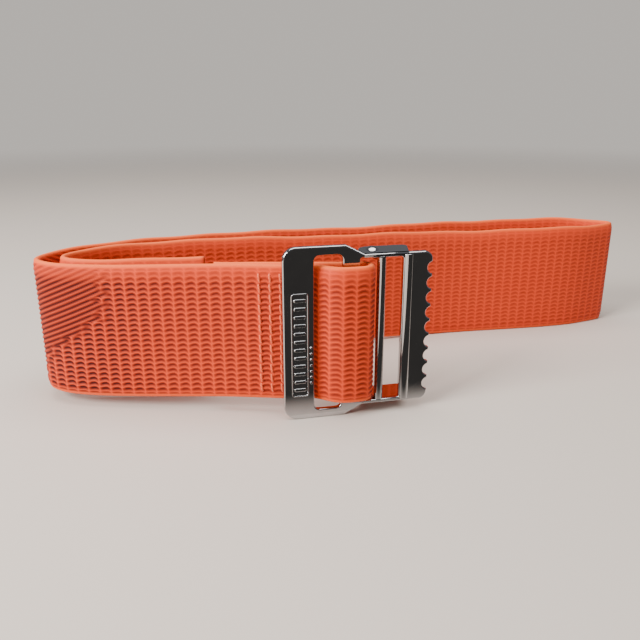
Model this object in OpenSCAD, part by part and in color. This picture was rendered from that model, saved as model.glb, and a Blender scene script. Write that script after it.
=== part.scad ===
// Spine board strap: one length of 50 mm webbing, standing on edge in a loose spiral, with a
// stamped steel buckle held in a loop that is sewn at one end of the webbing.
// +X right, +Y back, +Z up. The origin is on the floor, under the middle of the whole strap.

/* [Webbing] */
// Width of the webbing, which stands on edge
web_w = 50; // [49.5, 50]
// Thickness of the webbing
web_t = 3; // [2.6, 2.8, 3]

/* [Buckle frame] */
// Height of the buckle at its plain end
frame_h = 63; // [61.5:0.5:64]
// Height of the buckle at its toothed end
tooth_end_h = 56; // [56, 56.5]
// Thickness of the stamped plate
plate_t = 2.2; // [1.8, 2, 2.2]
// Number of teeth gaps along the outer edge
notch_count = 9; // [5:1:9]
// Radius of each gap between teeth
notch_r = 2.3; // [1.8, 2, 2.3]
// Thickness of the ears folded back from the plate
ear_t = 1.4; // [1.2, 1.3, 1.4]

/* [Clamp bar] */
// Diameter of the clamp bar's rod
rod_d = 3.2; // [2.8, 3, 3.2]
// Diameter of each rivet's shank
rivet_d = 3; // [2.6, 2.8, 3]
// Radial running clearance between a rivet and the bar's lug
running_gap = 0.05; // [0.03, 0.05, 0.08]

/* [Stitching] */
// Length of one stitch
stitch_l = 2.6; // [2, 2.6, 3]
// Distance from one stitch to the next
stitch_pitch = 3.7; // [3.7, 3.8, 4]
// Width of the sewing thread
thread_w = 0.7; // [0.5, 0.6, 0.7]

/* [Hidden] */
eps = 0.01;
round_fn = 64;

// Middle line of the webbing seen from above, with the height of its lower edge: the sewn end,
// the loop round the anchor bar, the front run, the rear run, the return run and the free end
strap_route = [
    [-57, -53, 5.5], [-53, -53.5, 5.5], [-46, -54.2, 5.8], [-38, -54.9, 6], [-30, -55.3, 6],
    [-22, -55, 6], [-15, -55.1, 6], [-11, -54.9, 6], [-7.3, -54.4, 6], [-4, -54.1, 6],
    [-1.8, -56.9, 6], [-2.6, -60.2, 6], [-5.8, -61.5, 6], [-9.3, -62.3, 6], [-13.4, -62.8, 6],
    [-17, -60.9, 6], [-21, -58.5, 6], [-25.3, -58.4, 6], [-30, -58.9, 6], [-38, -58.3, 6],
    [-50, -57.2, 6], [-64, -55.8, 5.5], [-80, -54.8, 5], [-96, -53.5, 4.5], [-109, -52.2, 4.5],
    [-119, -49, 4.5], [-125, -42, 4.5], [-123.5, -31, 4.2], [-117, -20.5, 3.8],
    [-104, -8.5, 3.2], [-88, 3, 2.6], [-70, 15, 2], [-48, 24.5, 1], [-24, 34, 0.3], [4, 42, 0],
    [32, 50, 0], [60, 57.5, 0], [84, 62.2, 0], [100, 64.3, 0], [112, 62, 0], [119, 58.2, 0],
    [124.3, 55.3, 0], [124.3, 50.8, 0], [118, 48, 0], [107, 42.2, 0], [92, 38, 0], [72, 34.5, 0],
    [50, 31, 0], [28, 26, 0.4], [4, 18, 1.2], [-20, 10, 2], [-44, 2.5, 2.8], [-66, -4, 3.6],
    [-84, -10.5, 4], [-98, -18, 4.4], [-109, -27, 4.5], [-116, -37, 4.5], [-113.5, -44.7, 4.6],
    [-104, -45.9, 4.7], [-90, -44.7, 4.8], [-76, -43.3, 4.8], [-62, -41.8, 4.8]
];
route_steps = 4;
last_point = len(strap_route) - 1;

// Buckle, measured along its plate from its left edge, back from its front face, and up from its
// middle height. The plate stands turned about the middle of its anchor bar.
anchor_at = [-9.4, -58.6];
plate_turn = 13;
frame_l = 53.5;
corner_r = 5;
waist_x0 = 22;
waist_x1 = 28.7;
end_corner_r = 3;
tooth_half = tooth_end_h / 2;
first_window = [11, 21, 28.3];
window_r = 2;
anchor_bar = [21, 27.2];
anchor_round = plate_t / 2;
second_window_x1 = 42.7;
ear_in = tooth_half - ear_t;
notch_pitch = 5.5;
notch_depth = 1.8;
lip_r = 2;
lip_y = 1.3;
pivot = [33.5, 7.5];
boss_r = 5;
ear_tail = [45.5, 10.4];
ear_tail_r = 2;

// Pattern of plain raised ribs on the left bar: two columns, the wide one inside a raised border.
// Each column is [left side, middle height, count, pitch, rib width, rib height]
rib_columns = [
    [3.7, -3.5, 12, 3, 4.3, 1.3],
    [9.3, -11, 7, 2.2, 1.1, 1]
];
border = [2.8, -22.6, 8.9, 15.6];
border_w = 0.45;
rib_rise = 0.35;

// Clamp bar and rivets
rod_at = [35.1, 1.3];
lug_r = 3;
lug_t = 1.05;
lug_gap = 0.1;
lug_out = ear_in - lug_gap;
rivet_head_r = 2.5;
rivet_head_h = 1.1;

// Stitching
stitch_xs = [-41, -37, -33.6];
thread_h = 0.4;
stitch_gap = 0.12;
stitches = floor((web_w - stitch_pitch) / stitch_pitch);

// One point of a uniform cubic B-spline
function spline_point(a, b, c, d, t) =
    ((1 - t) * (1 - t) * (1 - t) * a
    + (3 * t * t * t - 6 * t * t + 4) * b
    + (3 * t + 3 * t * t - 3 * t * t * t + 1) * c
    + t * t * t * d) / 6;

// The route with one more point past each end, so that the curve reaches the ends
function route_point(i) =
    i < 0 ? 2 * strap_route[0] - strap_route[1] :
    i > last_point ? 2 * strap_route[last_point] - strap_route[last_point - 1] :
    strap_route[i];

function route_at(i, t) =
    spline_point(route_point(i - 1), route_point(i), route_point(i + 1), route_point(i + 2), t);

middle_line = [
    for (i = [0:last_point - 1])
        for (k = [0:route_steps - 1])
            route_at(i, k / route_steps),
    route_at(last_point - 1, 1)
];
rings = len(middle_line);

// Direction across the webbing's thickness at ring i
function ring_way(i) = middle_line[min(i + 1, rings - 1)] - middle_line[max(i - 1, 0)];
function ring_side(i) =
    let (w = ring_way(i), n = norm([w.x, w.y])) [-w.y / n, w.x / n, 0];

function ring_corners(i) =
    let (m = middle_line[i], s = ring_side(i) * web_t / 2)
    [m - s, m + s, m + s + [0, 0, web_w], m - s + [0, 0, web_w]];

// Ring nearest to a given x, among the rings from first to last
function ring_near(x, first, last, best) =
    first > last ? best :
    ring_near(x, first + 1, last,
        abs(middle_line[first].x - x) < abs(middle_line[best].x - x) ? first : best);

module webbing() {
    corners = 4;
    color("orangered")
    polyhedron(
        points = [for (i = [0:rings - 1]) each ring_corners(i)],
        faces = concat(
            [[0, 1, 2, 3]],
            [for (i = [0:rings - 2])
                for (c = [0:corners - 1])
                    [i * corners + c,
                    (i + 1) * corners + c,
                    (i + 1) * corners + (c + 1) % corners,
                    i * corners + (c + 1) % corners]],
            [[for (c = [corners - 1:-1:0]) (rings - 1) * corners + c]]
        )
    );
}

// One row of stitches on one face of the webbing, at ring i; side is -1 or 1 across it
module stitch_row(i, side) {
    m = middle_line[i];
    s = ring_side(i);
    out = web_t / 2 + stitch_gap + thread_h / 2;
    first_z = m.z + (web_w - (stitches - 1) * stitch_pitch) / 2;
    for (k = [0:stitches - 1])
        translate([m.x, m.y, first_z + k * stitch_pitch] + side * out * s)
            rotate([0, 0, atan2(s.y, s.x)])
                cube([thread_h, thread_w, stitch_l], center = true);
}

module stitching() {
    tail_last = 6 * route_steps;
    front_first = 17 * route_steps;
    front_last = 22 * route_steps;
    color("tomato")
    for (x = stitch_xs) {
        stitch_row(ring_near(x, front_first, front_last, front_first), 1);
        stitch_row(ring_near(x, 0, tail_last, 0), 1);
    }
}

// A plate standing in the buckle's plane: the outline's x and y become x and z
module upright_plate(y0, y1) {
    translate([0, y1, 0])
        rotate([90, 0, 0])
            linear_extrude(height = y1 - y0)
                children();
}

module round_corner_cut(x, z, r, x_way, z_way) {
    difference() {
        translate([min(x, x + x_way * r), min(z, z + z_way * r)])
            square(r);
        translate([x + x_way * r, z + z_way * r])
            circle(r = r, $fn = round_fn);
    }
}

module plate_outline() {
    difference() {
        polygon([
            [0, -frame_h / 2], [waist_x0, -frame_h / 2], [waist_x1, -tooth_half],
            [frame_l, -tooth_half], [frame_l, tooth_half],
            [waist_x1, tooth_half], [waist_x0, frame_h / 2], [0, frame_h / 2]
        ]);
        for (way = [-1, 1]) {
            round_corner_cut(0, way * frame_h / 2, corner_r, 1, -way);
            round_corner_cut(frame_l, way * tooth_half, end_corner_r, -1, -way);
        }
        for (k = [0:notch_count - 1])
            translate([frame_l + notch_r - notch_depth, (k - (notch_count - 1) / 2) * notch_pitch])
                circle(r = notch_r, $fn = round_fn);
    }
}

module rounded_window(x0, x1, half) {
    difference() {
        translate([x0, -half])
            square([x1 - x0, 2 * half]);
        for (way = [-1, 1]) {
            round_corner_cut(x0, way * half, window_r, 1, -way);
            round_corner_cut(x1, way * half, window_r, -1, -way);
        }
    }
}

module ear_outline() {
    translate(pivot)
        circle(r = boss_r, $fn = round_fn);
    translate(ear_tail)
        circle(r = ear_tail_r, $fn = round_fn);
    polygon([
        [pivot.x - boss_r, 0], [second_window_x1 + lip_r, 0],
        [ear_tail.x + ear_tail_r, ear_tail.y], [ear_tail.x, ear_tail.y + ear_tail_r],
        [pivot.x, pivot.y + boss_r], [pivot.x - boss_r, pivot.y]
    ]);
}

module in_buckle() {
    translate([anchor_at.x, anchor_at.y, frame_h / 2])
        rotate([0, 0, plate_turn])
            translate([-(anchor_bar[0] + anchor_bar[1]) / 2, -plate_t / 2, 0])
                children();
}

module buckle_frame() {
    color("silver")
    in_buckle()
    difference() {
        union() {
            difference() {
                upright_plate(0, plate_t)
                    plate_outline();
                upright_plate(-eps, plate_t + eps)
                    rounded_window(first_window[0], first_window[1], first_window[2]);
                upright_plate(-eps, plate_t + eps)
                    translate([anchor_bar[0] - eps, -ear_in])
                        square([second_window_x1 - anchor_bar[0] + eps, 2 * ear_in]);
            }
            anchor_rod();
            for (way = [-1, 1])
                translate([0, 0, way * (tooth_half - ear_t / 2) - ear_t / 2])
                    linear_extrude(height = ear_t)
                        ear_outline();
            translate([second_window_x1 + lip_r, lip_y, -ear_in - eps])
                cylinder(r = lip_r, h = 2 * (ear_in + eps), $fn = round_fn);
            raised_ribs();
        }
        translate([pivot.x, pivot.y, -frame_h / 2])
            cylinder(d = rivet_d, h = frame_h, $fn = round_fn);
    }
}

module raised_ribs() {
    for (c = rib_columns)
        for (k = [0:c[2] - 1])
            translate([c[0], -rib_rise, c[1] + (k - (c[2] - 1) / 2) * c[3] - c[5] / 2])
                cube([c[4], rib_rise + eps, c[5]]);
    upright_plate(-rib_rise, eps)
        difference() {
            translate([border[0], border[1]])
                square([border[2] - border[0], border[3] - border[1]]);
            translate([border[0] + border_w, border[1] + border_w])
                square([border[2] - border[0] - 2 * border_w, border[3] - border[1] - 2 * border_w]);
        }
}

// The bar that holds the webbing's loop, with rounded edges
module anchor_rod() {
    half = first_window[2] + eps;
    translate([anchor_bar[0] + anchor_round, 0, -half])
        cube([anchor_bar[1] - anchor_bar[0] - 2 * anchor_round, plate_t, 2 * half]);
    for (x = [anchor_bar[0] + anchor_round, anchor_bar[1] - anchor_round])
        translate([x, plate_t / 2, -half])
            cylinder(r = anchor_round, h = 2 * half, $fn = round_fn);
}

// One rivet: a shank through the ear and the bar's lug, with a domed head outside the ear
module pivot_rivet() {
    dome_r = (rivet_head_r * rivet_head_r + rivet_head_h * rivet_head_h) / (2 * rivet_head_h);
    shank_end = lug_out - lug_t;
    translate([0, 0, shank_end])
        cylinder(d = rivet_d, h = tooth_half - shank_end + eps, $fn = round_fn);
    translate([0, 0, tooth_half + rivet_head_h - dome_r])
        intersection() {
            sphere(r = dome_r, $fn = round_fn);
            translate([0, 0, dome_r - rivet_head_h])
                cylinder(r = dome_r, h = dome_r, $fn = round_fn);
        }
}

module pivot_rivets() {
    color("gainsboro")
    in_buckle()
        translate(pivot) {
            pivot_rivet();
            mirror([0, 0, 1])
                pivot_rivet();
        }
}

// A rod between two flat lugs that turn on the rivets
module clamp_bar() {
    arm = rod_at - pivot;
    arm_l = norm(arm);
    color("lightgray")
    in_buckle()
    translate(pivot) {
        translate([arm.x, arm.y, -lug_out])
            cylinder(d = rod_d, h = 2 * lug_out, $fn = round_fn);
        for (z = [-lug_out, lug_out - lug_t])
            translate([0, 0, z])
                difference() {
                    linear_extrude(height = lug_t) {
                        circle(r = lug_r, $fn = round_fn);
                        rotate(atan2(arm.y, arm.x))
                            translate([0, -rod_d / 2])
                                square([arm_l, rod_d]);
                    }
                    translate([0, 0, -eps])
                        cylinder(r = rivet_d / 2 + running_gap, h = lug_t + 2 * eps, $fn = round_fn);
                }
    }
}

webbing();
stitching();
buckle_frame();
pivot_rivets();
clamp_bar();
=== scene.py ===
import math

import bpy
import numpy as np
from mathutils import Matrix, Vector


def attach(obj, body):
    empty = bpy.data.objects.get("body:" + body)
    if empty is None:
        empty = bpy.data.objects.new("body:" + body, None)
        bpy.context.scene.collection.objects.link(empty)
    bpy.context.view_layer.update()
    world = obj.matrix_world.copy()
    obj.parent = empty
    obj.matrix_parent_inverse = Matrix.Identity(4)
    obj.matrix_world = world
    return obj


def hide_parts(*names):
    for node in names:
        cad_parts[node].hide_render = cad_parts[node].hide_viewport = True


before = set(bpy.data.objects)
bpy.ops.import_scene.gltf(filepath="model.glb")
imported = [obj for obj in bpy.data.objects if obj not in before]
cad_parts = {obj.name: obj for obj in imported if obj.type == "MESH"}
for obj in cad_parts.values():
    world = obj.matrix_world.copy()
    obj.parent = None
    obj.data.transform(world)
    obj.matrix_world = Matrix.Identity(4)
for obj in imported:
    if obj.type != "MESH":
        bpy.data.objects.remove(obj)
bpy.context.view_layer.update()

MM = 0.001

# The strap's middle line seen from above and the height of its lower edge, as in part.scad
STRAP_ROUTE = [
    (-57, -53, 5.5), (-53, -53.5, 5.5), (-46, -54.2, 5.8), (-38, -54.9, 6), (-30, -55.3, 6),
    (-22, -55, 6), (-15, -55.1, 6), (-11, -54.9, 6), (-7.3, -54.4, 6), (-4, -54.1, 6),
    (-1.8, -56.9, 6), (-2.6, -60.2, 6), (-5.8, -61.5, 6), (-9.3, -62.3, 6), (-13.4, -62.8, 6),
    (-17, -60.9, 6), (-21, -58.5, 6), (-25.3, -58.4, 6), (-30, -58.9, 6), (-38, -58.3, 6),
    (-50, -57.2, 6), (-64, -55.8, 5.5), (-80, -54.8, 5), (-96, -53.5, 4.5), (-109, -52.2, 4.5),
    (-119, -49, 4.5), (-125, -42, 4.5), (-123.5, -31, 4.2), (-117, -20.5, 3.8),
    (-104, -8.5, 3.2), (-88, 3, 2.6), (-70, 15, 2), (-48, 24.5, 1), (-24, 34, 0.3), (4, 42, 0),
    (32, 50, 0), (60, 57.5, 0), (84, 62.2, 0), (100, 64.3, 0), (112, 62, 0), (119, 58.2, 0),
    (124.3, 55.3, 0), (124.3, 50.8, 0), (118, 48, 0), (107, 42.2, 0), (92, 38, 0), (72, 34.5, 0),
    (50, 31, 0), (28, 26, 0.4), (4, 18, 1.2), (-20, 10, 2), (-44, 2.5, 2.8), (-66, -4, 3.6),
    (-84, -10.5, 4), (-98, -18, 4.4), (-109, -27, 4.5), (-116, -37, 4.5), (-113.5, -44.7, 4.6),
    (-104, -45.9, 4.7), (-90, -44.7, 4.8), (-76, -43.3, 4.8), (-62, -41.8, 4.8),
]
SPLINE_STEPS = 24
WEB_WIDTH = 50 * MM
WEB_THICK = 3 * MM
EDGE_ROUND = 0.8 * MM
EDGE_PLAIN = 0.5 * MM
EDGE_POINTS = 5
THIN_EDGE = 0.36
THIN_REACH = 3.5 * MM
LOW = EDGE_ROUND
HIGH = WEB_WIDTH - EDGE_ROUND
TIP_TAPER = 0.9 * MM
TIP_SHARE = 0.72
TIP_SEAL = 1.6 * MM
# A lighter band along both edges is a painted highlight, as where the top edge catches the overhead
# light
EDGE_HIGHLIGHT_BAND = 1.5 * MM

# Weave: short arched grooves in columns along the strap and rows across its width. An arch's
# height and depth are given at equal steps along it, and a row's depth at steps across it
CHEVRON = 4.3 * MM
ARCH = (0.0, 0.6, 1.0, 0.92, 0.7, 0.35)
ARCH_DEPTH = (0.05, 0.8, 1.0, 1.0, 1.0, 0.7)
ARCH_HEIGHT = 0.75 * MM
ARCH_FULL = 4 * MM
CHEVRON_STEPS = len(ARCH)
ROWS = 25
ROW_DEPTH = (1.0, 0.55, 0.0, 0.55)
ROW_STEPS = len(ROW_DEPTH)
ROW_PITCH = (WEB_WIDTH - 2 * EDGE_ROUND - 2 * EDGE_PLAIN) / ROWS
END_ROW_DEPTH = 0.4
GROOVE_DEPTH = 0.46 * MM
# Under the top edge the grooves are shallower and their painted shade fainter: painted light from
# above, which washes the weave out there
PAINTED_LIGHT_BAND = 6 * MM
PAINTED_LIGHT_WEAVE_SHARE = 0.42

# How strong the weave stands out at places along the strap: (metres from the sewn end, strength)
WEAVE_STRENGTH = (
    (0, 0.8), (0.05, 0.72), (0.08, 0.72), (0.1, 0.85), (0.13, 0.9), (0.165, 1.3),
    (0.2, 1.3), (0.25, 0.75), (0.37, 0.7), (0.42, 0.4), (0.52, 0.35), (0.6, 0.4), (0.8, 0.6),
)

# Left turn, where the grooves run on from column to column in slanted lines: (height above
# the lower edge, distance from the sewn end at which the lines start there)
SLANT_STARTS = (
    (3 * MM, 186 * MM), (18 * MM, 173 * MM), (23 * MM, 165 * MM), (31 * MM, 154 * MM),
    (50 * MM, 151 * MM),
)
SLANT_JAG = 2.6 * MM
JAG_STEP = 2.4
SLANT_END = 222 * MM

# A slight waviness of the standing webbing: (size, distance for one radian, phase)
LEAN_WAVE = (0.25 * MM, 19 * MM, 0)
LEAN_LEVEL = 0.4
RISE_WAVES = ((0.22 * MM, 11.3 * MM, 0), (0.16 * MM, 4.7 * MM, 1.3))
WAVE_START = 0.15
WAVE_FULL = 0.21

# Stitching: its rows, and the stretches of the route (first and last point) on whose outer
# sides they show
STITCH_XS = (-41 * MM, -37 * MM, -33.6 * MM)
STITCH_STRETCHES = ((17, 22), (0, 6))
STITCH_PITCH = 3.7 * MM
STITCH_LENGTH = 3.3 * MM
STITCH_RINGS = 9
STITCH_SIDES = 8
STITCH_ARCH = 0.9
STITCH_SINK = 0.55
STITCH_TIP = 0.55
STITCH_LEAN = 0.22 * MM
THREAD_R = 0.36 * MM
THREAD_SPREAD = 1.15

# Buckle, in mm as in part.scad: along its plate, back from its front face, up from its middle
ANCHOR_AT = (-9.4, -58.6)
ANCHOR_BAR = (21, 27.2)
PLATE_TURN = math.radians(13)
PLATE_HALF = 31.5
TOOTH_HALF = 28
PLATE_THICK = 2.2
PLATE_LONG = 53.5
WAIST = (22, 28.7)
CORNER_R = 5
END_CORNER_R = 3
FIRST_WINDOW = (11, 21, 28.3)
FIRST_WINDOW_R = 2
SECOND_WINDOW = (27.2, 42.7, 26.6)
SECOND_WINDOW_R = 0.8
NOTCHES = 9
NOTCH_PITCH = 5.5
NOTCH_R = 2.3
NOTCH_DEPTH = 1.8
EAR_THICK = 1.4
PIVOT = (33.5, 7.5)
BOSS_R = 5
EAR_TAIL = (45.5, 10.4)
EAR_TAIL_R = 2
LIP_AT = (44.7, 1.3)
LIP_R = 2
LIP_ROUND = 0.2
LIP_SIDES = 40
LIP_END_STEPS = 4
PLATE_ROUND = 0.5
EAR_ROUND = 0.4
ARC_STEPS = 10
EDGE_STEPS = 3
LEAST_TURN = 0.6
WELD_REACH = 0.002

# Plain ribs on the left bar: (left side, middle height, count, pitch, width, height of a rib)
RIB_COLUMNS = ((3.7, -3.5, 12, 3, 4.3, 1.3), (9.3, -11, 7, 2.2, 1.1, 1))
RIB_RISE = 0.35
RIB_ROUND = 0.3
RIB_CORNER = 1 / 2.2
BORDER = (2.8, -22.6, 8.9, 15.6)
BORDER_R = 1
BORDER_W = 0.45
BORDER_ROUND = 0.16

# Rounded edges of the rivets and the clamp bar, which are the CAD's own
BEVELS = {"pivot_rivets": 0.2 * MM, "clamp_bar": 0.25 * MM}
BEVEL_ANGLE = math.radians(35)
FLAT_ANGLE = math.radians(0.5)

# Colours, as red, green and blue light
RIB_COLOUR = (0.86, 0.062, 0.013)
RIB_LIGHT = (0.95, 0.10, 0.026)
# The grooves' colour is painted shade: a dark colour standing in for the shadow inside them, darkest
# where they are deepest
GROOVE_PAINTED_SHADE = (0.06, 0.0008, 0.0001)
GROOVE_SHADE_SPREAD = 0.65
# Painted highlight along the webbing's edges
EDGE_HIGHLIGHT_COLOUR = (0.98, 0.18, 0.035)
EDGE_HIGHLIGHT_SHARE = 0.75
SEAL_COLOUR = (0.55, 0.05, 0.015)
THREAD_DARK = (0.78, 0.08, 0.02)
THREAD_LIGHT = (0.97, 0.16, 0.045)
CHROME_DARK = (0.47, 0.47, 0.48)
CHROME_LIGHT = (0.57, 0.57, 0.58)

# Textures. A roughness is (what the noise adds, the least)
YARN_STRETCH = (260, 2600, 1)
PATCH_STRETCH = (30, 60, 1)
TWIST_SCALE = 620
WEB_ROUGH = (0.25, 0.48)
WEAR_SCALE = 160
RIPPLE_SCALE = 45
CHROME_ROUGH = (0.09, 0.03)

FLOOR_REACH = 1.6
FLOOR_COLOUR = (0.64, 0.565, 0.50)
FLOOR_FADE = (0.45, 1.3)
# A card seen only in reflections: a painted dark reflection in the chrome, with a faint painted glow
CARD_BOX = ((-0.053, -0.85), (0.75, -0.0575))
CARD_LIFT = 1.0 * MM
CARD_FADE = (-0.050, -0.076)
CARD_PAINTED_GLOW_COLOUR = (1, 0.93, 0.87)
CARD_PAINTED_GLOW = 0.055
BACKGROUND = (0.60, 0.56, 0.52)
ROOM_COLOUR = (0.9, 0.93, 1)
ROOM_STRENGTH = 0.18

# Lights: name, place, what it points at, size, power in watts, colour
LIGHTS = (
    ("overhead", (0.0, -0.04, 1.0), (0, 0, 0), (1.0, 0.8), 13.0, (1, 0.985, 0.96)),
    ("front_left", (-0.55, -0.42, 0.42), (0, 0, 0.03), (0.35, 0.35), 9.8, (1, 0.98, 0.96)),
)

CAMERA_PLACE = (-0.020, -0.2867, 0.1129)
CAMERA_PITCH = 18.64
FOCAL_PIXELS = 686.9
FRAME_PIXELS = 640
SENSOR_MM = 36
CLIP_START = 10 * MM


def new_mesh(name, points, faces):
    mesh = bpy.data.meshes.new(name)
    mesh.from_pydata(points, [], faces)
    mesh.update()
    obj = bpy.data.objects.new(name, mesh)
    bpy.context.scene.collection.objects.link(obj)
    return obj


def smooth(obj):
    obj.data.shade_smooth()
    return obj


def paint(obj, material):
    obj.data.materials.clear()
    obj.data.materials.append(material)


def rise_to_one(values, start, full):
    return np.clip((values - start) / (full - start), 0, 1)


def tube_faces(rings, ring):
    """Faces between rings of points, one after another, and a face over each end."""
    index = np.arange(rings * ring).reshape(rings, ring)
    beside = np.roll(index, -1, axis=1)
    quads = np.stack([index[:-1], index[1:], beside[1:], beside[:-1]], axis=2).reshape(-1, 4)
    return quads.tolist() + [index[0].tolist(), index[-1][::-1].tolist()]


# ---------------------------------------------------------------- the strap's path

def spline(points, steps):
    """A uniform cubic B-spline that reaches its first and last points."""
    ends = np.vstack([2 * points[0] - points[1], points, 2 * points[-1] - points[-2]])
    t = np.linspace(0, 1, steps, endpoint=False)[:, None]
    weights = np.hstack([
        (1 - t) ** 3,
        3 * t ** 3 - 6 * t ** 2 + 4,
        1 + 3 * t + 3 * t ** 2 - 3 * t ** 3,
        t ** 3,
    ]) / 6
    spans = [weights @ ends[i:i + 4] for i in range(len(ends) - 3)]
    return np.vstack(spans + [points[-1:]])


def strap_line():
    return spline(np.array(STRAP_ROUTE, float) * MM, SPLINE_STEPS)


def strap_rings():
    """Rings at equal distances along the strap: how far along, where, and the way across."""
    line = strap_line()
    flat_steps = np.hypot(*np.diff(line[:, :2], axis=0).T)
    along = np.concatenate([[0], np.cumsum(flat_steps)])
    count = round(along[-1] / CHEVRON) * CHEVRON_STEPS + 1
    at = np.linspace(0, along[-1], count)
    points = np.stack([np.interp(at, along, line[:, k]) for k in range(3)], axis=1)
    way = np.gradient(points[:, :2], axis=0)
    way /= np.hypot(*way.T)[:, None]
    across = np.stack([-way[:, 1], way[:, 0], np.zeros(len(way))], axis=1)
    return at, points, across


# ---------------------------------------------------------------- the webbing

def face_profile():
    """One face from its lower to its upper edge: how high and how far out it is, and how much
    of its grooves, of their arches and of the slanted lines shows there."""
    steps = ROWS * ROW_STEPS
    rows = np.linspace(LOW + EDGE_PLAIN, HIGH - EDGE_PLAIN, steps + 1)
    height = np.concatenate([[LOW, LOW + EDGE_PLAIN / 2], rows, [HIGH - EDGE_PLAIN / 2, HIGH]])
    row_depth = np.resize(ROW_DEPTH, steps + 1)
    row_depth[[0, -1]] = END_ROW_DEPTH
    from_edge = np.minimum(height - LOW, HIGH - height)
    # Painted light: less of the weave, in depth and in painted shade, shows in the band under the top
    # edge
    faded = rise_to_one(HIGH - height, PAINTED_LIGHT_BAND / 2, PAINTED_LIGHT_BAND)
    shown = PAINTED_LIGHT_WEAVE_SHARE + (1 - PAINTED_LIGHT_WEAVE_SHARE) * faded
    thin = 1 - THIN_EDGE * (1 - rise_to_one(from_edge, 0, THIN_REACH)) ** 2
    groove = np.concatenate([[0, 0], row_depth, [0, 0]]) * shown
    arch = rise_to_one(from_edge, 0, ARCH_FULL)
    line = shown * rise_to_one(from_edge, 0, EDGE_PLAIN * 2)
    return height, thin * WEB_THICK / 2, groove, arch, line


def section():
    """A ring round the webbing: up the face on the + side, over the top edge, down the other
    face and under. It gives how far out and how high each point is, and the face's shares."""
    face_height, face_out, *face_shares = face_profile()
    turn = np.linspace(0, math.pi, EDGE_POINTS + 2)[1:-1]
    edge_out = WEB_THICK / 2 * (1 - THIN_EDGE) * np.cos(turn)
    edge_rise = EDGE_ROUND * np.sin(turn)
    none = np.zeros(EDGE_POINTS)
    out = np.concatenate([face_out, edge_out, -face_out[::-1], -edge_out])
    height = np.concatenate([face_height, HIGH + edge_rise, face_height[::-1], LOW - edge_rise])
    shares = [np.concatenate([share, none, share[::-1], none]) for share in face_shares]
    return out, height, shares


def slanted_share(at, height):
    """How far slanted lines have taken the arches' place, at each ring and point."""
    row = np.round((height - LOW - EDGE_PLAIN) / ROW_PITCH)
    starts = np.interp(height, *zip(*SLANT_STARTS)) + SLANT_JAG * np.sin(row * JAG_STEP)
    begun = rise_to_one(at[:, None] - starts[None, :], 0, CHEVRON)
    return begun * rise_to_one(-at, -SLANT_END - CHEVRON, -SLANT_END)[:, None]


def groove_pattern(at, height, groove_share, arch_share, line_share):
    """How far each groove stands above its row, and its depth, at each ring and point."""
    slant = slanted_share(at, height)
    step = np.arange(len(at)) % CHEVRON_STEPS
    arches = (np.array(ARCH)[step] - 0.5) * ARCH_HEIGHT
    lift = arches[:, None] * arch_share[None, :] * (1 - slant)
    phase = (height[None, :] - LOW - EDGE_PLAIN) / ROW_PITCH + at[:, None] / CHEVRON
    lines = (0.5 + 0.5 * np.cos(math.tau * phase)) * line_share[None, :]
    arched = groove_share[None, :] * np.array(ARCH_DEPTH)[step][:, None]
    groove = arched * (1 - slant) + lines * slant
    return lift, groove * np.interp(at, *zip(*WEAVE_STRENGTH))[:, None]


def wave(at, size, spread, phase):
    return size * np.sin(at / spread + phase)[:, None]


def slow_wave(at, height):
    """A slight waviness of the standing webbing, none where it is held in the buckle."""
    free = rise_to_one(at, WAVE_START, WAVE_FULL)[:, None]
    up = (height / WEB_WIDTH)[None, :]
    lean = wave(at, *LEAN_WAVE) * (up - LEAN_LEVEL)
    rise = sum(wave(at, *one) for one in RISE_WAVES) * up
    return free * lean, free * rise


def webbing_surface(at, points, across):
    """The webbing's points, ring by ring, with each point's groove depth, and its section."""
    out, height, shares = section()
    lift, groove = groove_pattern(at, height, *shares)
    lean, rise = slow_wave(at, height)
    reach = out[None, :] - np.sign(out)[None, :] * GROOVE_DEPTH * groove + lean
    taper = rise_to_one(at[-1] - at, 0, TIP_TAPER)[:, None]
    reach *= TIP_SHARE + (1 - TIP_SHARE) * np.sqrt(taper)
    spots = points[:, None, :] + reach[:, :, None] * across[:, None, :]
    spots[:, :, 2] += height[None, :] + lift + rise
    return spots, groove, out, height


def make_webbing():
    at, points, across = strap_rings()
    length = at[-1]
    spots, groove, out, height = webbing_surface(at, points, across)
    rings, ring = spots.shape[:2]
    obj = new_mesh("woven_webbing", spots.reshape(-1, 3).tolist(), tube_faces(rings, ring))
    seal = 1 - rise_to_one(length - at, 0, TIP_SEAL)
    # Painted highlight: how near each point is to an edge
    edge = 1 - rise_to_one(np.minimum(height, WEB_WIDTH - height), 0, EDGE_HIGHLIGHT_BAND)
    add_value(obj, "groove", groove.ravel())
    add_value(obj, "seal", np.repeat(seal, ring))
    add_value(obj, "edge", np.tile(edge, rings))
    add_strap_uv(obj, at, out, height)
    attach(smooth(obj), "strap")
    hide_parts("webbing")
    paint(obj, webbing_material())


def add_value(obj, name, values):
    attribute = obj.data.attributes.new(name, "FLOAT", "POINT")
    attribute.data.foreach_set("value", np.asarray(values, np.float32))


def add_strap_uv(obj, at, out, height):
    """UVs in metres: along the strap, and round its cross-section."""
    round_way = np.concatenate([[0], np.cumsum(np.hypot(np.diff(out), np.diff(height)))])
    u = np.repeat(at, len(out))
    v = np.tile(round_way, len(at))
    corner = np.empty(len(obj.data.loops), np.int32)
    obj.data.loops.foreach_get("vertex_index", corner)
    layer = obj.data.uv_layers.new(name="weave")
    layer.data.foreach_set("uv", np.stack([u[corner], v[corner]], axis=1).ravel())


# ---------------------------------------------------------------- stitching

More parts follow.
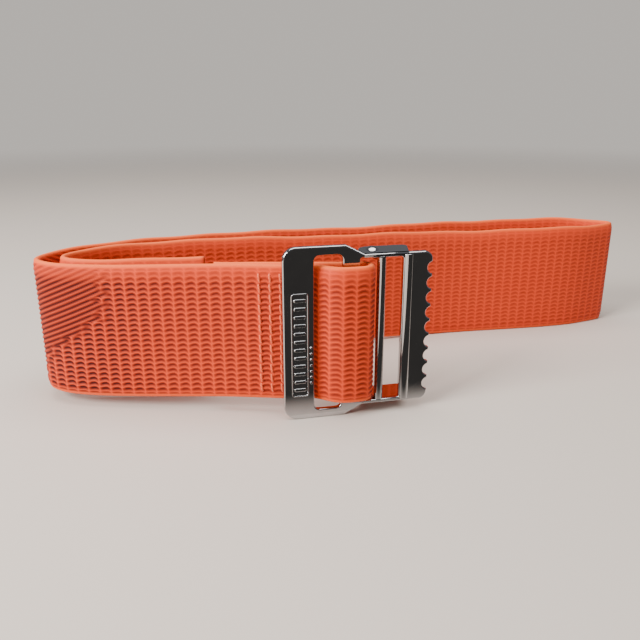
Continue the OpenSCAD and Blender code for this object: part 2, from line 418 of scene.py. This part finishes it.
def make_stitching():
    points = []
    faces = []
    line = strap_line()
    for x in STITCH_XS:
        for first, last in STITCH_STRETCHES:
            run = line[first * SPLINE_STEPS:last * SPLINE_STEPS]
            stitch_row(*place_on(run, x), points, faces)
    obj = new_mesh("seam_thread", points, faces)
    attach(smooth(obj), "strap")
    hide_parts("stitching")
    paint(obj, thread_material())


def place_on(run, x):
    """Where a run of the strap's line passes x, the way across the webbing and the way along."""
    k = int(np.abs(run[:, 0] - x).argmin())
    before = run[max(k - 1, 0)]
    after = run[min(k + 1, len(run) - 1)]
    along = np.append((after - before)[:2], 0)
    along /= math.hypot(along[0], along[1])
    across = np.array([-along[1], along[0], 0])
    return run[k], across, along


def stitch_row(spot, across, along, points, faces):
    """Adds a row of short curved threads, which dip into the webbing at their ends."""
    count = int((WEB_WIDTH - STITCH_PITCH) / STITCH_PITCH)
    lowest = spot[2] + (WEB_WIDTH - (count - 1) * STITCH_PITCH) / 2
    for n in range(count):
        base = len(points)
        points += stitch_points(spot, across, along, lowest + n * STITCH_PITCH)
        for face in tube_faces(STITCH_RINGS, STITCH_SIDES):
            faces.append([base + corner for corner in reversed(face)])


def stitch_points(spot, across, along, middle):
    points = []
    for t in np.linspace(-1, 1, STITCH_RINGS):
        lift = THREAD_R * (STITCH_ARCH * (1 - t * t) - STITCH_SINK)
        fat = THREAD_R * (STITCH_TIP + (1 - STITCH_TIP) * math.sqrt(1 - t ** 6))
        centre = spot + across * (WEB_THICK / 2 + lift) + along * STITCH_LEAN * t
        for side in range(STITCH_SIDES):
            turn = side / STITCH_SIDES * math.tau
            round_way = across * math.cos(turn) + along * THREAD_SPREAD * math.sin(turn)
            place = centre + fat * round_way
            points.append((place[0], place[1], middle + t * STITCH_LENGTH / 2))
    return points


# ---------------------------------------------------------------- the metal

def arc(centre, radius, start, end):
    """Points on a round corner, with angles in degrees."""
    angles = np.radians(np.linspace(start, end, ARC_STEPS))
    return [(centre[0] + radius * math.cos(a), centre[1] + radius * math.sin(a)) for a in angles]


def rounded_box(x0, z0, x1, z1, r):
    corners = ((x1 - r, z0 + r, 270), (x1 - r, z1 - r, 0), (x0 + r, z1 - r, 90), (x0 + r, z0 + r, 180))
    return [spot for x, z, start in corners for spot in arc((x, z), r, start, start + 90)]


def window_loop(size, r):
    x0, x1, half = size
    return rounded_box(x0, -half, x1, half, r)[::-1]


def plate_loop():
    end = PLATE_LONG - END_CORNER_R
    notch_turn = math.degrees(math.acos((NOTCH_R - NOTCH_DEPTH) / NOTCH_R))
    loop = arc((CORNER_R, CORNER_R - PLATE_HALF), CORNER_R, 180, 270)
    loop += [(WAIST[0], -PLATE_HALF), (WAIST[1], -TOOTH_HALF)]
    loop += arc((end, END_CORNER_R - TOOTH_HALF), END_CORNER_R, 270, 360)
    for k in range(NOTCHES):
        centre = (PLATE_LONG + NOTCH_R - NOTCH_DEPTH, (k - (NOTCHES - 1) / 2) * NOTCH_PITCH)
        loop += arc(centre, NOTCH_R, 180 + notch_turn, 180 - notch_turn)
    loop += arc((end, TOOTH_HALF - END_CORNER_R), END_CORNER_R, 0, 90)
    loop += [(WAIST[1], TOOTH_HALF), (WAIST[0], PLATE_HALF)]
    loop += arc((CORNER_R, PLATE_HALF - CORNER_R), CORNER_R, 90, 180)
    return loop


def ear_loop():
    loop = [(PIVOT[0] - BOSS_R, 0), (LIP_AT[0], 0)]
    loop += arc(EAR_TAIL, EAR_TAIL_R, 0, 90)
    loop += arc(PIVOT, BOSS_R, 90, 180)
    return loop


def inset(loop, distance):
    """Moves a closed loop to its left, which is into the metal, by a distance."""
    spots = np.array(loop, float)
    before = spots - np.roll(spots, 1, axis=0)
    after = np.roll(spots, -1, axis=0) - spots
    before /= np.hypot(*before.T)[:, None]
    after /= np.hypot(*after.T)[:, None]
    way = before + after
    way /= np.hypot(*way.T)[:, None]
    left = np.stack([-way[:, 1], way[:, 0]], axis=1)
    reach = np.clip((before * way).sum(axis=1), LEAST_TURN, 1)
    return spots + left * (distance / reach)[:, None]


def flat_curve(loops, thick, rounding):
    """A filled 2D curve with rounded edges, as thick as a stamping."""
    curve = bpy.data.curves.new("stamping", "CURVE")
    curve.dimensions = "2D"
    curve.fill_mode = "BOTH"
    curve.extrude = thick / 2 - rounding
    curve.bevel_depth = rounding
    curve.bevel_resolution = EDGE_STEPS
    for loop in loops:
        spots = inset(loop, rounding)
        outline = curve.splines.new("POLY")
        outline.points.add(len(spots) - 1)
        outline.use_cyclic_u = True
        for point, spot in zip(outline.points, spots):
            point.co = (spot[0], spot[1], 0, 1)
    return curve


def stamped(loops, low, high, rounding):
    """Corners and faces of a plate with rounded edges, from loops in its plane."""
    curve = flat_curve(loops, high - low, rounding)
    obj = bpy.data.objects.new("stamping", curve)
    bpy.context.scene.collection.objects.link(obj)
    bpy.context.view_layer.update()
    mesh = bpy.data.meshes.new_from_object(obj.evaluated_get(bpy.context.evaluated_depsgraph_get()))
    spots = np.array([v.co for v in mesh.vertices])
    spots[:, 2] += (low + high) / 2
    faces = [list(face.vertices) for face in mesh.polygons]
    bpy.data.objects.remove(obj)
    bpy.data.curves.remove(curve)
    bpy.data.meshes.remove(mesh)
    return spots, faces


def upright(part):
    """Stands a stamping up: its plane becomes x and z, and its thickness goes back."""
    spots, faces = part
    return spots[:, [0, 2, 1]], [face[::-1] for face in faces]


def rod(centre, radius, half, rounding):
    """A standing round bar with rounded ends."""
    turns = np.linspace(0, math.pi / 2, LIP_END_STEPS)
    radii = radius - rounding * (1 - np.sin(turns))
    heights = half - rounding * (1 - np.cos(turns))
    rings = [*zip(radii, heights), *zip(radii[::-1], -heights[::-1])]
    angles = np.arange(LIP_SIDES) / LIP_SIDES * math.tau
    spots = [
        (centre[0] + r * math.cos(a), centre[1] + r * math.sin(a), z)
        for r, z in rings for a in angles
    ]
    return np.array(spots), tube_faces(len(rings), LIP_SIDES)


def rib_parts():
    for left, middle, count, pitch, width, tall in RIB_COLUMNS:
        for k in range(count):
            low = middle + (k - (count - 1) / 2) * pitch - tall / 2
            box = rounded_box(left, low, left + width, low + tall, tall * RIB_CORNER)
            yield upright(stamped([box], -RIB_RISE, RIB_RISE, RIB_ROUND))


def border_part():
    x0, z0, x1, z1 = BORDER
    w = BORDER_W
    outer = rounded_box(x0, z0, x1, z1, BORDER_R)
    inner = rounded_box(x0 + w, z0 + w, x1 - w, z1 - w, BORDER_R - w)
    return upright(stamped([outer, inner[::-1]], -RIB_RISE, RIB_RISE, BORDER_ROUND))


def frame_parts():
    first = window_loop(FIRST_WINDOW, FIRST_WINDOW_R)
    second = window_loop(SECOND_WINDOW, SECOND_WINDOW_R)
    yield upright(stamped([plate_loop(), first, second], 0, PLATE_THICK, PLATE_ROUND))
    for low in (TOOTH_HALF - EAR_THICK, -TOOTH_HALF):
        yield stamped([ear_loop()], low, low + EAR_THICK, EAR_ROUND)
    yield rod(LIP_AT, LIP_R, SECOND_WINDOW[2] + EAR_THICK / 2, LIP_ROUND)
    yield from rib_parts()
    yield border_part()


def in_place(spots):
    """Moves corners from the buckle's own frame to where it stands, in metres."""
    x = spots[:, 0] - sum(ANCHOR_BAR) / 2
    y = spots[:, 1] - PLATE_THICK / 2
    cos = math.cos(PLATE_TURN)
    sin = math.sin(PLATE_TURN)
    right = ANCHOR_AT[0] + cos * x - sin * y
    back = ANCHOR_AT[1] + sin * x + cos * y
    return np.stack([right, back, spots[:, 2] + PLATE_HALF], axis=1) * MM


def make_buckle_frame(chrome):
    spots = []
    faces = []
    for part_spots, part_faces in frame_parts():
        count = len(spots)
        spots += in_place(part_spots).tolist()
        faces += [[v + count for v in face] for face in part_faces]
    obj = smooth(new_mesh("stamped_frame", spots, faces))
    weld = obj.modifiers.new("weld", "WELD")
    weld.merge_threshold = WELD_REACH * MM
    flat_normals(obj)
    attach(obj, "buckle")
    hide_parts("buckle_frame")
    paint(obj, chrome)


def flat_normals(obj):
    normals = obj.modifiers.new("flat_faces", "WEIGHTED_NORMAL")
    normals.mode = "FACE_AREA"
    normals.weight = 100


def dress_metal(chrome):
    for name, width in BEVELS.items():
        obj = smooth(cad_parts[name])
        flatten = obj.modifiers.new("flatten", "DECIMATE")
        flatten.decimate_type = "DISSOLVE"
        flatten.angle_limit = FLAT_ANGLE
        bevel = obj.modifiers.new("soft_edges", "BEVEL")
        bevel.width = width
        bevel.segments = EDGE_STEPS
        bevel.limit_method = "ANGLE"
        bevel.angle_limit = BEVEL_ANGLE
        flat_normals(obj)
        paint(obj, chrome)


# ---------------------------------------------------------------- materials

def new_material(name):
    material = bpy.data.materials.new(name)
    material.use_nodes = True
    nodes = material.node_tree.nodes
    return material, nodes, material.node_tree.links, nodes["Principled BSDF"]


def feed(links, socket, value):
    """Gives a socket a colour or a number, or links another node's output to it."""
    if isinstance(value, bpy.types.NodeSocket):
        links.new(value, socket)
    elif isinstance(value, tuple):
        socket.default_value = (*value, 1)
    else:
        socket.default_value = value


def mix_colour(nodes, links, amount, first, second):
    mix = nodes.new("ShaderNodeMix")
    mix.data_type = "RGBA"
    links.new(amount, mix.inputs["Factor"])
    feed(links, mix.inputs[6], first)
    feed(links, mix.inputs[7], second)
    return mix.outputs[2]


def maths(nodes, links, operation, *values):
    node = nodes.new("ShaderNodeMath")
    node.operation = operation
    for socket, value in zip(node.inputs, values):
        feed(links, socket, value)
    return node.outputs[0]


def attribute_value(nodes, name):
    node = nodes.new("ShaderNodeAttribute")
    node.attribute_name = name
    return node.outputs["Fac"]


def noise(nodes, links, place, scale, detail):
    node = nodes.new("ShaderNodeTexNoise")
    node.inputs["Scale"].default_value = scale
    node.inputs["Detail"].default_value = detail
    links.new(place, node.inputs["Vector"])
    return node.outputs["Fac"]


def strap_noise(nodes, links, stretch, detail):
    """Noise over the strap's UVs, stretched."""
    uv = nodes.new("ShaderNodeUVMap")
    uv.uv_map = "weave"
    mapping = nodes.new("ShaderNodeMapping")
    mapping.inputs["Scale"].default_value = stretch
    links.new(uv.outputs["UV"], mapping.inputs["Vector"])
    return noise(nodes, links, mapping.outputs["Vector"], 1, detail)


def add_bump(nodes, links, shader, height, strength, distance):
    bump = nodes.new("ShaderNodeBump")
    bump.inputs["Strength"].default_value = strength
    bump.inputs["Distance"].default_value = distance
    links.new(height, bump.inputs["Height"])
    links.new(bump.outputs["Normal"], shader.inputs["Normal"])


def webbing_colour(nodes, links, yarn):
    patch = strap_noise(nodes, links, PATCH_STRETCH, detail=2)
    light = maths(nodes, links, "MULTIPLY", yarn, patch)
    # Painted shade in the grooves, darker the deeper each groove is
    groove = maths(nodes, links, "POWER", attribute_value(nodes, "groove"), GROOVE_SHADE_SPREAD)
    # Painted highlight along the edges
    edge = maths(nodes, links, "MULTIPLY", attribute_value(nodes, "edge"), EDGE_HIGHLIGHT_SHARE)
    colour = mix_colour(nodes, links, light, RIB_COLOUR, RIB_LIGHT)
    colour = mix_colour(nodes, links, groove, colour, GROOVE_PAINTED_SHADE)
    colour = mix_colour(nodes, links, edge, colour, EDGE_HIGHLIGHT_COLOUR)
    return mix_colour(nodes, links, attribute_value(nodes, "seal"), colour, SEAL_COLOUR)


def webbing_material():
    material, nodes, links, shader = new_material("woven_orange")
    yarn = strap_noise(nodes, links, YARN_STRETCH, detail=3)
    links.new(webbing_colour(nodes, links, yarn), shader.inputs["Base Color"])
    rough = maths(nodes, links, "MULTIPLY_ADD", yarn, *WEB_ROUGH)
    links.new(rough, shader.inputs["Roughness"])
    shader.inputs["Specular IOR Level"].default_value = 0.18
    shader.inputs["Sheen Weight"].default_value = 0.04
    shader.inputs["Sheen Roughness"].default_value = 0.5
    add_bump(nodes, links, shader, yarn, strength=0.5, distance=0.12 * MM)
    return material


def thread_material():
    material, nodes, links, shader = new_material("orange_thread")
    place = nodes.new("ShaderNodeTexCoord")
    twist = nodes.new("ShaderNodeTexWave")
    twist.bands_direction = "DIAGONAL"
    twist.inputs["Scale"].default_value = TWIST_SCALE
    links.new(place.outputs["Object"], twist.inputs["Vector"])
    colour = mix_colour(nodes, links, twist.outputs["Fac"], THREAD_DARK, THREAD_LIGHT)
    links.new(colour, shader.inputs["Base Color"])
    shader.inputs["Roughness"].default_value = 0.55
    shader.inputs["Sheen Weight"].default_value = 0.2
    add_bump(nodes, links, shader, twist.outputs["Fac"], strength=0.6, distance=0.1 * MM)
    return material


def chrome_material():
    material, nodes, links, shader = new_material("chrome_plate")
    place = nodes.new("ShaderNodeTexCoord").outputs["Object"]
    wear = noise(nodes, links, place, WEAR_SCALE, detail=6)
    ripple = noise(nodes, links, place, RIPPLE_SCALE, detail=1)
    colour = mix_colour(nodes, links, wear, CHROME_DARK, CHROME_LIGHT)
    rough = maths(nodes, links, "MULTIPLY_ADD", wear, *CHROME_ROUGH)
    links.new(colour, shader.inputs["Base Color"])
    links.new(rough, shader.inputs["Roughness"])
    shader.inputs["Metallic"].default_value = 1
    add_bump(nodes, links, shader, ripple, strength=0.25, distance=0.2 * MM)
    return material


# ---------------------------------------------------------------- stage

def sheet_of_paper(name, low, high, lift):
    corners = [(low[0], low[1]), (high[0], low[1]), (high[0], high[1]), (low[0], high[1])]
    paper = new_mesh(name, [(x, y, lift) for x, y in corners], [(0, 1, 2, 3)])
    return paper


def fade_over(nodes, links, place, span, near, far):
    """Goes from the shader near to the shader far as the place goes over a span."""
    ramp = nodes.new("ShaderNodeMapRange")
    ramp.interpolation_type = "SMOOTHSTEP"
    ramp.inputs["From Min"].default_value = span[0]
    ramp.inputs["From Max"].default_value = span[1]
    links.new(place, ramp.inputs["Value"])
    mix = nodes.new("ShaderNodeMixShader")
    links.new(ramp.outputs["Result"], mix.inputs["Fac"])
    links.new(near.outputs["BSDF"], mix.inputs[1])
    links.new(far.outputs["BSDF"], mix.inputs[2])
    links.new(mix.outputs["Shader"], nodes["Material Output"].inputs["Surface"])


def make_floor():
    """A pale floor, which fades out towards its far edges."""
    floor = sheet_of_paper("floor", (-FLOOR_REACH, -FLOOR_REACH), (FLOOR_REACH, FLOOR_REACH), 0)
    material, nodes, links, shader = new_material("floor_paper")
    shader.inputs["Base Color"].default_value = (*FLOOR_COLOUR, 1)
    shader.inputs["Roughness"].default_value = 0.85
    shader.inputs["Specular IOR Level"].default_value = 0.2
    place = nodes.new("ShaderNodeTexCoord")
    distance = nodes.new("ShaderNodeVectorMath")
    distance.operation = "LENGTH"
    links.new(place.outputs["Object"], distance.inputs[0])
    clear = nodes.new("ShaderNodeBsdfTransparent")
    fade_over(nodes, links, distance.outputs["Value"], FLOOR_FADE, shader, clear)
    paint(floor, material)


def make_painted_reflection_card():
    """A dark card in front, which only reflections show, as a studio uses for chrome: it puts painted
    shade into the chrome's reflections, and its faint glow is painted light, as it is no lamp.
    """
    card = sheet_of_paper("painted_reflection_card", *CARD_BOX, CARD_LIFT)
    card.rotation_euler.z = PLATE_TURN
    card.visible_camera = False
    card.visible_diffuse = False
    card.visible_transmission = False
    card.visible_shadow = False
    material, nodes, links, shader = new_material("painted_reflection_card")
    shader.inputs["Base Color"].default_value = (0, 0, 0, 1)
    shader.inputs["Specular IOR Level"].default_value = 0
    # Painted glow, which shows only in reflections
    shader.inputs["Emission Color"].default_value = (*CARD_PAINTED_GLOW_COLOUR, 1)
    shader.inputs["Emission Strength"].default_value = CARD_PAINTED_GLOW
    place = nodes.new("ShaderNodeTexCoord")
    parts = nodes.new("ShaderNodeSeparateXYZ")
    links.new(place.outputs["Object"], parts.inputs["Vector"])
    clear = nodes.new("ShaderNodeBsdfTransparent")
    fade_over(nodes, links, parts.outputs["Y"], CARD_FADE, clear, shader)
    paint(card, material)


def area_light(name, place, target, size, power, colour):
    light = bpy.data.lights.new(name, "AREA")
    light.shape = "RECTANGLE"
    light.size = size[0]
    light.size_y = size[1]
    light.energy = power
    light.color = colour
    obj = bpy.data.objects.new(name, light)
    bpy.context.scene.collection.objects.link(obj)
    obj.location = place
    way = Vector(target) - obj.location
    obj.rotation_euler = way.to_track_quat("-Z", "Y").to_euler()


def make_room():
    """A dim room that lights the object, and a plain backdrop that only the camera sees."""
    world = bpy.data.worlds.new("studio")
    bpy.context.scene.world = world
    world.use_nodes = True
    nodes = world.node_tree.nodes
    links = world.node_tree.links
    room = nodes["Background"]
    room.inputs["Color"].default_value = (*ROOM_COLOUR, 1)
    room.inputs["Strength"].default_value = ROOM_STRENGTH
    backdrop = nodes.new("ShaderNodeBackground")
    backdrop.inputs["Color"].default_value = (*BACKGROUND, 1)
    rays = nodes.new("ShaderNodeLightPath")
    mix = nodes.new("ShaderNodeMixShader")
    links.new(rays.outputs["Is Camera Ray"], mix.inputs["Fac"])
    links.new(room.outputs["Background"], mix.inputs[1])
    links.new(backdrop.outputs["Background"], mix.inputs[2])
    links.new(mix.outputs["Shader"], nodes["World Output"].inputs["Surface"])


def make_camera():
    data = bpy.data.cameras.new("camera")
    data.sensor_width = SENSOR_MM
    data.lens = SENSOR_MM * FOCAL_PIXELS / FRAME_PIXELS
    data.clip_start = CLIP_START
    obj = bpy.data.objects.new("camera", data)
    bpy.context.scene.collection.objects.link(obj)
    obj.location = CAMERA_PLACE
    obj.rotation_euler = (math.radians(90 - CAMERA_PITCH), 0, 0)
    bpy.context.scene.camera = obj


# ---------------------------------------------------------------- build


chrome = chrome_material()
make_camera()
make_webbing()
make_stitching()
dress_metal(chrome)
make_buckle_frame(chrome)
make_floor()
make_painted_reflection_card()
for light in LIGHTS:
    area_light(*light)
make_room()
bpy.context.view_layer.update()
